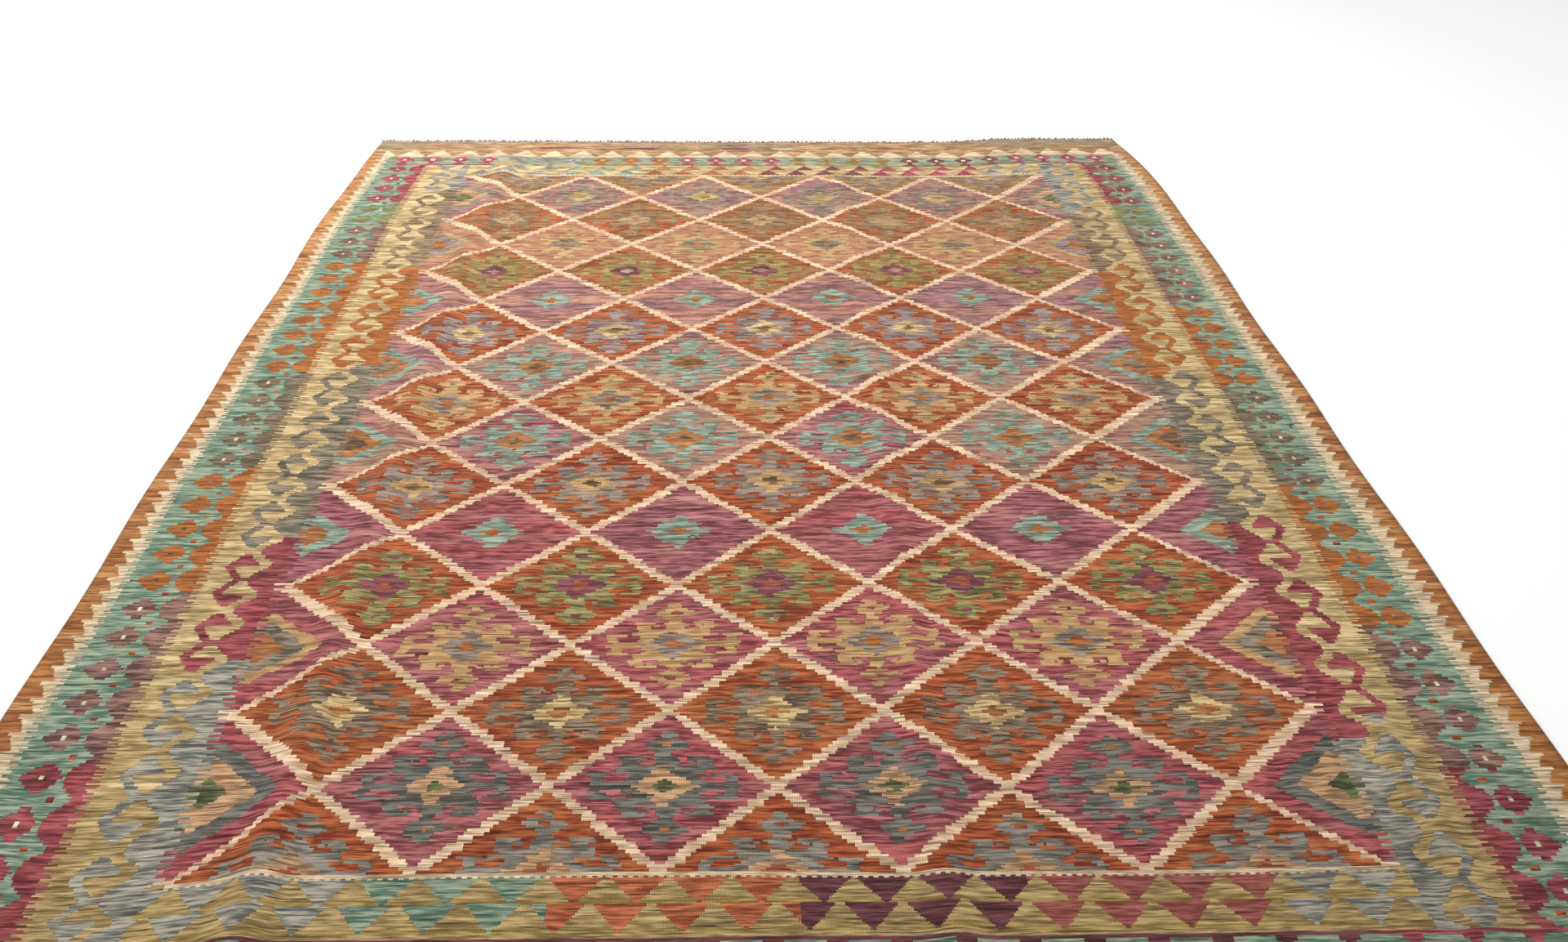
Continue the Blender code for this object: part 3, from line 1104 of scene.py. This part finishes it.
wisp = node("GeometryNodeCurveQuadraticBezier", {"Resolution": 4})
for number, socket in enumerate(("Start", "Middle", "End")):
    reach = times(given["Length"], number / 2)
    feed(wisp.inputs[socket], point(0.0, reach, TUFT_RISES[number]))
round_line = {"Resolution": TUFT_SIDES, "Radius": given["Radius"]}
outline = node("GeometryNodeCurvePrimitiveCircle", round_line)
swept = {"Curve": wisp.outputs[0], "Profile Curve": outline.outputs[0], "Fill Caps": True}
strand = node("GeometryNodeCurveToMesh", swept)


def chance(least, most, shift):
    """A random number for each tuft."""
    inputs = {2: least, 3: most, "Seed": calc("ADD", given["Seed"], float(shift))}
    return node("FunctionNodeRandomValue", inputs, data_type="FLOAT").outputs[1]


# A tuft leans out of its own end, turned a little to either side.
position = node("GeometryNodeInputPosition").outputs[0]
along_rug = node("ShaderNodeSeparateXYZ", {0: position}).outputs[1]
half_turn = times(calc("LESS_THAN", along_rug, 0.0), pi)
lean = point(chance(-0.25, 0.10, 1), 0.0, calc("ADD", half_turn, chance(-1.0, 1.0, 2)))
spread = node("GeometryNodeInstanceOnPoints", {
    "Points": places.outputs[0],
    "Instance": strand.outputs[0],
    "Rotation": lean,
    "Scale": chance(0.45, 1.25, 3),
})
realized = node("GeometryNodeRealizeInstances", {0: spread.outputs[0]})
dressed = node("GeometryNodeSetMaterial", {0: realized.outputs[0], "Material": fray})
feed(node("NodeGroupOutput").inputs[0], dressed.outputs[0])

# Both ends of the cloth, as two lines of points at half its thickness.
edge_points = []
edge_lines = []
for edge, outward in ((near_edge, -1), (far_edge, 1)):
    start = len(edge_points)
    for number in edge:
        edge_x, edge_y, edge_z = verts[number + count]
        edge_points.append((edge_x, edge_y - outward * EDGE_INSET, edge_z + EDGE_HEIGHT))
    edge_lines += [(start + number, start + number + 1) for number in range(len(edge) - 1)]
edge_mesh = bpy.data.meshes.new("end_edges")
edge_mesh.from_pydata(edge_points, edge_lines, [])
edges = placed("end_edges", edge_mesh)


def plain_mesh(name, shaped):
    """A new object with another's finished shape as a plain mesh. The other is removed."""
    bpy.context.view_layer.update()
    evaluated = shaped.evaluated_get(bpy.context.evaluated_depsgraph_get())
    made = placed(name, bpy.data.meshes.new_from_object(evaluated))
    shaped.modifiers.clear()
    bpy.data.objects.remove(shaped)
    return made


growing = edges.modifiers.new("tufts", "NODES")
growing.node_group = tree
sizes = {"Spacing": TUFT_SPACING, "Length": TUFT_LENGTH, "Radius": TUFT_RADIUS, "Seed": TUFT_SEED}
for item in tree.interface.items_tree:
    if item.in_out == "INPUT" and item.name in sizes:
        growing[item.identifier] = sizes[item.name]
tufts = plain_mesh("end_tufts", edges)
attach(tufts, "root")

# ------------------------
# Two loose yarn ends: dark wool, which the weaver left on the face where a colour stopped. The
# rest of each yarn is woven in.
LOOSE_RADIUS = 0.0007
# Where each leaves the cloth, and its bends from there.
LOOSE_ENDS = (
    (-0.127, -0.483, ((0, 0, 0), (0.006, 0.003, 0.004), (0.013, -0.001, 0.003), (0.017, -0.007, 0.001))),
    (0.920, -0.137, ((0, 0, 0), (-0.004, 0.005, 0.003), (-0.002, 0.011, 0.003), (0.005, 0.013, 0.001))),
)
yarn_line = bpy.data.curves.new("loose_ends", "CURVE")
yarn_line.dimensions = "3D"
yarn_line.bevel_depth = LOOSE_RADIUS
yarn_line.bevel_resolution = 1
yarn_line.resolution_u = 5
yarn_line.use_fill_caps = True
for place_x, place_y, bends in LOOSE_ENDS:
    foot = verts[np.argmin((verts[:count, 0] - place_x) ** 2 + (verts[:count, 1] - place_y) ** 2)]
    strand_line = yarn_line.splines.new("NURBS")
    strand_line.points.add(len(bends) - 1)
    for knot, bend in zip(strand_line.points, bends):
        knot.co = (*(foot + bend), 1.0)
    strand_line.use_endpoint_u = True
    strand_line.order_u = 3
loose_ends = plain_mesh("loose_ends", placed("loose_curve", yarn_line))
dark_yarn, tree, shader = finish("dark_yarn", 0.95)
shader.inputs["Base Color"].default_value = linear("2c2a1c")
loose_ends.data.materials.clear()
loose_ends.data.materials.append(dark_yarn)
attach(loose_ends, "root")

# ------------------------
# The floor, and soft daylight: a bright room all round, and a large window beyond the far left
# corner.
FLOOR_REACH = 9.0
FLOOR_DROP = 0.0005
reach = ((-1, -1), (1, -1), (1, 1), (-1, 1))
floor_mesh = bpy.data.meshes.new("floor")
floor_mesh.from_pydata([(FLOOR_REACH * a, FLOOR_REACH * b, 0) for a, b in reach], [], [(0, 1, 2, 3)])
floor = placed("floor", floor_mesh)
floor.location.z = -FLOOR_DROP
paint, tree, shader = finish("pale_floor", 0.9)
shader.inputs["Base Color"].default_value = (0.99, 0.99, 0.99, 1.0)
floor_mesh.materials.append(paint)

world = bpy.data.worlds.new("studio")
bpy.context.scene.world = world
world.use_nodes = True
sky = world.node_tree.nodes["Background"]
sky.inputs["Color"].default_value = (1.0, 1.0, 1.0, 1.0)
sky.inputs["Strength"].default_value = 0.75

WINDOW_PLACE = Vector((-1.6, 2.2 + FIELD_CENTRE_Y, 2.6))
WINDOW_AIM = Vector((0.0, 0.2, 0.0))
window = bpy.data.lights.new("window_light", "AREA")
window.size = 1.8
window.energy = 110.0
window_box = placed("window_light", window)
window_box.location = WINDOW_PLACE
window_box.rotation_euler = (WINDOW_AIM - WINDOW_PLACE).to_track_quat("-Z", "Y").to_euler()
bpy.context.scene.view_settings.view_transform = "Standard"
